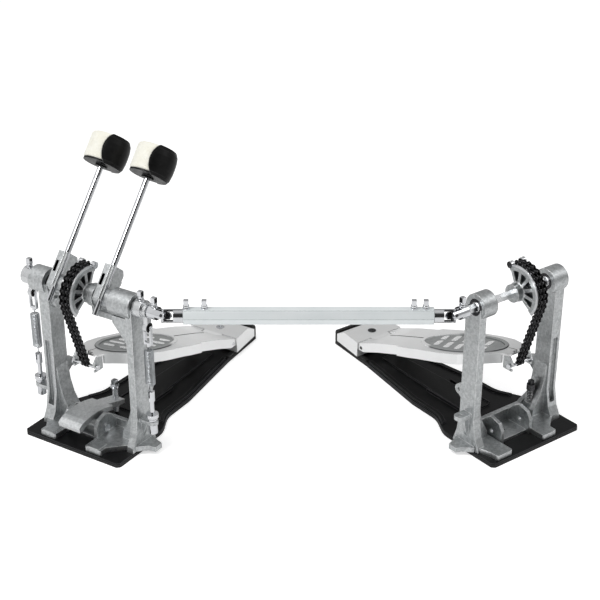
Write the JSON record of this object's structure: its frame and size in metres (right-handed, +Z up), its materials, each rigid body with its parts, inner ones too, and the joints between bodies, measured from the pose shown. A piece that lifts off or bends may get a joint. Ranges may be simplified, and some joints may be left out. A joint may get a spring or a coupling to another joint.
{
  "type": "double bass drum pedal",
  "caption": "Chain-driven double bass drum pedal: a main pedal with two beaters linked to a slave pedal by a telescopic drive tube with universal joints.",
  "frame": {"origin": "middle of the whole outline, on the floor", "axes": "+X runs along the drive tube from the main pedal to the slave pedal, +Y from the drums towards the player, +Z up"},
  "size_m": [0.7306, 0.3827, 0.3831],
  "materials": {
    "black_painted_steel": "satin",
    "black_rubber": "matte",
    "black_steel_chain": "satin, oiled",
    "spring_wire": "satin",
    "cream_felt": "pressed felt",
    "black_plastic": "gloss",
    "dark_steel": "satin",
    "cast_aluminium": "as cast, satin",
    "brushed_aluminium": "polished, satin",
    "chrome_steel": "polished"
  },
  "bodies": {
    "main_base": {"main_frame": "cast_aluminium", "main_base_plate": "black_painted_steel", "main_mat_and_bumper": "black_rubber", "main_heel_plate": "brushed_aluminium", "main_fasteners": "chrome_steel", "main_bearings": "dark_steel"},
    "main_board": {"main_footboard": "brushed_aluminium", "main_toe_clamp": "chrome_steel"},
    "primary_shaft_group": {"primary_shaft": "chrome_steel", "main_cam": "cast_aluminium", "main_chain_on_cam": "black_steel_chain", "outer_rocker": "chrome_steel", "outer_beater_hub": "cast_aluminium", "outer_beater_rod": "chrome_steel", "outer_beater_felt": "cream_felt", "outer_beater_shell": "black_plastic", "primary_key_bolts": "chrome_steel"},
    "main_link_1": {"main_chain_link_1": "black_steel_chain"},
    "main_link_2": {"main_chain_link_2": "black_steel_chain"},
    "main_link_3": {"main_chain_link_3": "black_steel_chain"},
    "main_link_4": {"main_chain_link_4": "black_steel_chain"},
    "main_run": {"main_chain_run": "black_steel_chain"},
    "secondary_shaft_group": {"secondary_shaft": "chrome_steel", "inner_rocker": "chrome_steel", "inner_beater_hub": "cast_aluminium", "inner_beater_rod": "chrome_steel", "inner_beater_felt": "cream_felt", "inner_beater_shell": "black_plastic", "secondary_key_bolts": "chrome_steel", "main_shaft_yoke": "chrome_steel"},
    "main_cross": {"main_joint_cross": "dark_steel"},
    "drive_tube_group": {"drive_tube": "brushed_aluminium", "drive_tube_yoke": "chrome_steel", "tube_key_bolts": "chrome_steel"},
    "outer_spring_lower": {"outer_spring_coil": "spring_wire"},
    "outer_spring_upper": {"outer_spring_hook": "chrome_steel"},
    "inner_spring_lower": {"inner_spring_coil": "spring_wire"},
    "inner_spring_upper": {"inner_spring_hook": "chrome_steel"},
    "clamp_jaw": {"hoop_clamp_jaw": "cast_aluminium"},
    "clamp_screw": {"hoop_clamp_screw": "chrome_steel"},
    "slave_base": {"slave_frame": "cast_aluminium", "slave_base_plate": "black_painted_steel", "slave_mat_and_bumper": "black_rubber", "slave_heel_plate": "brushed_aluminium", "slave_fasteners": "chrome_steel", "slave_bearings": "dark_steel"},
    "slave_board": {"slave_footboard": "brushed_aluminium", "slave_toe_clamp": "chrome_steel"},
    "slave_shaft_group": {"slave_shaft": "chrome_steel", "slave_cam": "cast_aluminium", "slave_chain_on_cam": "black_steel_chain", "slave_shaft_yoke": "chrome_steel", "slave_key_bolts": "chrome_steel"},
    "slave_cross": {"slave_joint_cross": "dark_steel"},
    "slave_bar": {"slave_drive_bar": "chrome_steel"},
    "slave_link_1": {"slave_chain_link_1": "black_steel_chain"},
    "slave_link_2": {"slave_chain_link_2": "black_steel_chain"},
    "slave_link_3": {"slave_chain_link_3": "black_steel_chain"},
    "slave_link_4": {"slave_chain_link_4": "black_steel_chain"},
    "slave_run": {"slave_chain_run": "black_steel_chain"}
  },
  "joints": [
    {"name": "main_board_hinge", "type": "hinge", "parent": "main_base", "child": "main_board", "pos_m": [-0.13268, 0.11513, 0.025], "axis": [0.8462, -0.5329, 0], "range_deg": [0, 6.33], "stiffness_Nm_per_rad": 25, "springref_deg": -8.59},
    {"name": "primary_shaft_turn", "type": "hinge", "parent": "main_base", "child": "primary_shaft_group", "pos_m": [-0.27176, -0.10572, 0.207], "axis": [0.8462, -0.5329, 0], "range_deg": [-0.05, 43.91]},
    {"name": "main_chain_pin_1", "type": "hinge", "parent": "primary_shaft_group", "child": "main_link_1", "pos_m": [-0.29277, -0.12783, 0.22704], "axis": [0.8462, -0.5329, 0], "range_deg": [-6.43, 0.05]},
    {"name": "main_chain_pin_2", "type": "hinge", "parent": "main_link_1", "child": "main_link_2", "pos_m": [-0.29474, -0.13095, 0.21995], "axis": [0.8462, -0.5329, 0], "range_deg": [-12.81, 0.05]},
    {"name": "main_chain_pin_3", "type": "hinge", "parent": "main_link_2", "child": "main_link_3", "pos_m": [-0.29582, -0.13267, 0.21221], "axis": [0.8462, -0.5329, 0], "range_deg": [-12.81, 0.05]},
    {"name": "main_chain_pin_4", "type": "hinge", "parent": "main_link_3", "child": "main_link_4", "pos_m": [-0.29596, -0.1329, 0.20421], "axis": [0.8462, -0.5329, 0], "range_deg": [-12.81, 0.05]},
    {"name": "main_chain_swing", "type": "hinge", "parent": "primary_shaft_group", "child": "main_run", "pos_m": [-0.29642, -0.13362, 0.21237], "axis": [0.8462, -0.5329, 0], "range_deg": [-51.09, 0.05]},
    {"name": "outer_spring_tilt", "type": "hinge", "parent": "main_base", "child": "outer_spring_lower", "pos_m": [-0.35088, -0.05684, 0.088], "axis": [0.8462, -0.5329, 0], "range_deg": [-9.06, 0.05]},
    {"name": "outer_spring_stretch", "type": "slide", "parent": "outer_spring_lower", "child": "outer_spring_upper", "axis": [0, 0, 1], "range_m": [-0.0001, 0.00723], "deforming": ["outer_spring_coil"]},
    {"name": "slave_distance", "type": "slide", "parent": "main_base", "child": "slave_base", "axis": [1, 0, 0], "range_m": [0, 0.06]},
    {"name": "slave_board_hinge", "type": "hinge", "parent": "slave_base", "child": "slave_board", "pos_m": [0.11507, 0.10545, 0.025], "axis": [0.7986, 0.6018, 0], "range_deg": [0, 6.33], "stiffness_Nm_per_rad": 25, "springref_deg": -8.59},
    {"name": "slave_shaft_turn", "type": "hinge", "parent": "slave_base", "child": "slave_shaft_group", "pos_m": [0.27215, -0.103, 0.207], "axis": [0.7986, 0.6018, 0], "range_deg": [-0.05, 43.91]},
    {"name": "slave_chain_pin_1", "type": "hinge", "parent": "slave_shaft_group", "child": "slave_link_1", "pos_m": [0.29493, -0.12327, 0.22704], "axis": [0.7986, 0.6018, 0], "range_deg": [-6.43, 0.05]},
    {"name": "slave_chain_pin_2", "type": "hinge", "parent": "slave_link_1", "child": "slave_link_2", "pos_m": [0.29715, -0.12621, 0.21995], "axis": [0.7986, 0.6018, 0], "range_deg": [-12.81, 0.05]},
    {"name": "slave_chain_pin_3", "type": "hinge", "parent": "slave_link_2", "child": "slave_link_3", "pos_m": [0.29838, -0.12783, 0.21221], "axis": [0.7986, 0.6018, 0], "range_deg": [-12.81, 0.05]},
    {"name": "slave_chain_pin_4", "type": "hinge", "parent": "slave_link_3", "child": "slave_link_4", "pos_m": [0.29854, -0.12805, 0.20421], "axis": [0.7986, 0.6018, 0], "range_deg": [-12.81, 0.05]},
    {"name": "slave_chain_swing", "type": "hinge", "parent": "slave_shaft_group", "child": "slave_run", "pos_m": [0.29906, -0.12873, 0.21237], "axis": [0.7986, 0.6018, 0], "range_deg": [-51.09, 0.05]},
    {"name": "slave_cross_swing", "type": "hinge", "parent": "slave_shaft_group", "child": "slave_cross", "pos_m": [0.1819, -0.171, 0.207], "axis": [-0.5583, 0.7408, -0.3735], "range_deg": [-31.49, 0.05]},
    {"name": "drive_bar_turn", "type": "hinge", "parent": "slave_base", "child": "slave_bar", "pos_m": [0.1819, -0.171, 0.207], "axis": [1, 0, 0], "range_deg": [-0.05, 53.56]},
    {"name": "drive_tube_turn", "type": "hinge", "parent": "main_base", "child": "drive_tube_group", "pos_m": [-0.1681, -0.171, 0.207], "axis": [1, 0, 0], "range_deg": [-0.05, 53.56]},
    {"name": "secondary_shaft_turn", "type": "hinge", "parent": "main_base", "child": "secondary_shaft_group", "pos_m": [-0.27176, -0.10572, 0.207], "axis": [0.8462, -0.5329, 0], "range_deg": [-0.05, 46.26]},
    {"name": "main_cross_swing", "type": "hinge", "parent": "secondary_shaft_group", "child": "main_cross", "pos_m": [-0.1681, -0.171, 0.207], "axis": [0.4901, 0.7783, -0.3924], "range_deg": [-0.05, 27.81]},
    {"name": "inner_spring_tilt", "type": "hinge", "parent": "main_base", "child": "inner_spring_lower", "pos_m": [-0.1918, -0.15702, 0.088], "axis": [0.8462, -0.5329, 0], "range_deg": [-9.38, 0.05]},
    {"name": "inner_spring_stretch", "type": "slide", "parent": "inner_spring_lower", "child": "inner_spring_upper", "axis": [0, 0, 1], "range_m": [-0.0001, 0.00797], "deforming": ["inner_spring_coil"]},
    {"name": "clamp_jaw_hinge", "type": "hinge", "parent": "main_base", "child": "clamp_jaw", "pos_m": [-0.27655, -0.11334, 0.02], "axis": [0.8462, -0.5329, 0], "range_deg": [-3, 6]},
    {"name": "clamp_screw_travel", "type": "slide", "parent": "clamp_jaw", "child": "clamp_screw", "axis": [0, 0, 1], "range_m": [-0.00575, 0.00293]}
  ],
  "couplings": [
    {"joint": "primary_shaft_turn", "follows": "main_board_hinge", "ratio": 6.9207},
    {"joint": "main_chain_pin_1", "follows": "main_board_hinge", "ratio": -1.0066},
    {"joint": "main_chain_pin_2", "follows": "main_board_hinge", "ratio": -2.0131},
    {"joint": "main_chain_pin_3", "follows": "main_board_hinge", "ratio": -2.0131},
    {"joint": "main_chain_pin_4", "follows": "main_board_hinge", "ratio": -2.0131},
    {"joint": "main_chain_swing", "follows": "main_board_hinge", "ratio": -8.0525},
    {"joint": "outer_spring_tilt", "follows": "main_board_hinge", "ratio": -1.4215},
    {"joint": "outer_spring_stretch", "follows": "main_board_hinge", "m_per_rad": 0.06445},
    {"joint": "slave_shaft_turn", "follows": "slave_board_hinge", "ratio": 6.9207},
    {"joint": "slave_chain_pin_1", "follows": "slave_board_hinge", "ratio": -1.0066},
    {"joint": "slave_chain_pin_2", "follows": "slave_board_hinge", "ratio": -2.0131},
    {"joint": "slave_chain_pin_3", "follows": "slave_board_hinge", "ratio": -2.0131},
    {"joint": "slave_chain_pin_4", "follows": "slave_board_hinge", "ratio": -2.0131},
    {"joint": "slave_chain_swing", "follows": "slave_board_hinge", "ratio": -8.0525},
    {"joint": "slave_cross_swing", "follows": "slave_board_hinge", "ratio": -4.9604},
    {"joint": "drive_bar_turn", "follows": "slave_board_hinge", "ratio": 8.4429},
    {"joint": "drive_tube_turn", "follows": "slave_board_hinge", "ratio": 8.4429},
    {"joint": "secondary_shaft_turn", "follows": "slave_board_hinge", "ratio": 7.2906},
    {"joint": "main_cross_swing", "follows": "slave_board_hinge", "ratio": 4.38},
    {"joint": "inner_spring_tilt", "follows": "slave_board_hinge", "ratio": -1.4719},
    {"joint": "inner_spring_stretch", "follows": "slave_board_hinge", "m_per_rad": 0.071172},
    {"joint": "clamp_screw_travel", "follows": "clamp_jaw_hinge", "m_per_rad": -0.054}
  ]
}
